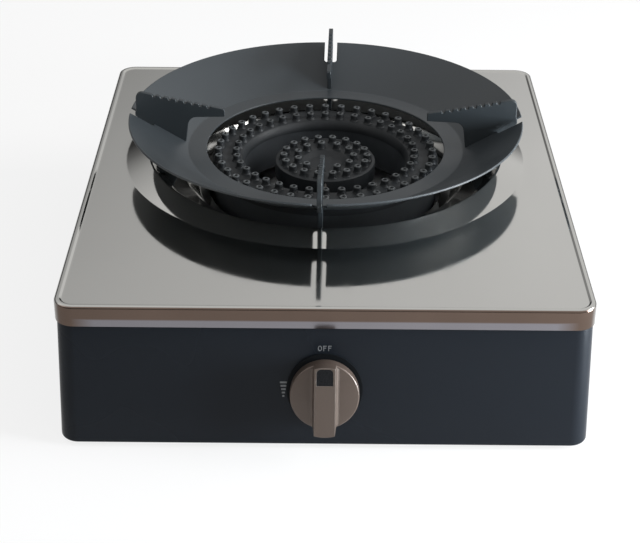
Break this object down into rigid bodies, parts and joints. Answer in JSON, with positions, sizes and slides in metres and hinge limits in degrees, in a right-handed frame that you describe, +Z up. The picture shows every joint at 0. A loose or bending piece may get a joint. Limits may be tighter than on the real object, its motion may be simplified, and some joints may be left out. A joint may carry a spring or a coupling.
{
  "type": "tabletop gas hob",
  "caption": "Tabletop gas hob: polished top plate on a painted casing, bowl-shaped pan support with notched fins, cast burner with loose caps and a push-and-turn knob.",
  "frame": {"origin": "floor under the middle of the hob's box", "axes": "+Y to the back, away from the knob, +Z up, +X to the right seen from the knob"},
  "size_m": [0.3116, 0.4218, 0.1285],
  "materials": {
    "casing_paint": "glossy paint",
    "polished_steel": "mirror polished",
    "zinc_steel": "satin",
    "enamel": "satin enamel",
    "cast_iron": "cast, matt",
    "brass": "machined",
    "rubber": "matt",
    "knob_paint": "satin metallic",
    "black_plastic": "satin",
    "ceramic": "glazed",
    "lead_sleeve": "matt"
  },
  "bodies": {
    "body": {"casing": "casing_paint", "base_plate": "zinc_steel", "top_plate": "polished_steel", "foot_front_left": "rubber", "foot_front_right": "rubber", "foot_back_left": "rubber", "foot_back_right": "rubber", "foot_screws": "zinc_steel", "base_screws": "zinc_steel", "plate_screws": "zinc_steel", "burner_ring": "cast_iron", "burner_cup": "cast_iron", "bracket_left": "zinc_steel", "bracket_right": "zinc_steel", "burner_screws": "zinc_steel", "injector_outer": "brass", "injector_inner": "brass", "valve_body": "zinc_steel", "valve_bracket": "zinc_steel", "valve_screws": "zinc_steel", "panel_screws": "zinc_steel", "igniter": "black_plastic", "ignition_lead": "lead_sleeve", "electrode_rod": "zinc_steel", "electrode_ceramic": "ceramic", "electrode_clip": "zinc_steel", "gas_pipe": "brass", "pipe_nut": "brass", "inlet_union": "brass", "inlet_nut": "zinc_steel", "hose_nipple": "brass", "knob_bezel": "black_plastic"},
    "valve_plug": {"valve_plug": "brass"},
    "knob": {"knob": "knob_paint", "knob_insert": "black_plastic", "knob_clip": "zinc_steel", "spindle": "zinc_steel", "return_spring": "zinc_steel"},
    "pan_support": {"support_bowl": "enamel", "fin_front": "enamel", "fin_back": "enamel", "fin_left": "enamel", "fin_right": "enamel"},
    "ring_cap": {"ring_cap": "cast_iron"},
    "centre_cap": {"centre_cap": "cast_iron"},
    "shutter_outer": {"shutter_outer": "zinc_steel"},
    "shutter_inner": {"shutter_inner": "zinc_steel"},
    "striker": {"striker": "zinc_steel"}
  },
  "joints": [
    {"name": "knob_turn", "type": "hinge", "parent": "body", "child": "valve_plug", "pos_m": [0, -0.14117, 0.02723], "axis": [0, -0.9767, 0.2147], "range_deg": [0, 180]},
    {"name": "knob_push", "type": "slide", "parent": "valve_plug", "child": "knob", "axis": [0, 0.9767, -0.2147], "range_m": [0, 0.003], "stiffness_N_per_m": 800, "springref_m": -0.004, "deforming": ["return_spring"]},
    {"name": "support_lift", "type": "slide", "parent": "body", "child": "pan_support", "axis": [0, 0, 1], "range_m": [0, 0.08]},
    {"name": "ring_cap_lift", "type": "slide", "parent": "body", "child": "ring_cap", "axis": [0, 0, 1], "range_m": [0, 0.018]},
    {"name": "centre_cap_lift", "type": "slide", "parent": "body", "child": "centre_cap", "axis": [0, 0, 1], "range_m": [0, 0.05]},
    {"name": "shutter_outer_turn", "type": "hinge", "parent": "body", "child": "shutter_outer", "pos_m": [0.017, -0.11717, 0.02723], "axis": [0, 1, 0], "range_deg": [0, 60]},
    {"name": "shutter_inner_turn", "type": "hinge", "parent": "body", "child": "shutter_inner", "pos_m": [-0.017, -0.11717, 0.02723], "axis": [0, -1, 0], "range_deg": [0, 60]},
    {"name": "striker_push", "type": "slide", "parent": "body", "child": "striker", "axis": [1, 0, 0], "range_m": [0, 0.003], "stiffness_N_per_m": 300, "springref_m": -0.002}
  ]
}
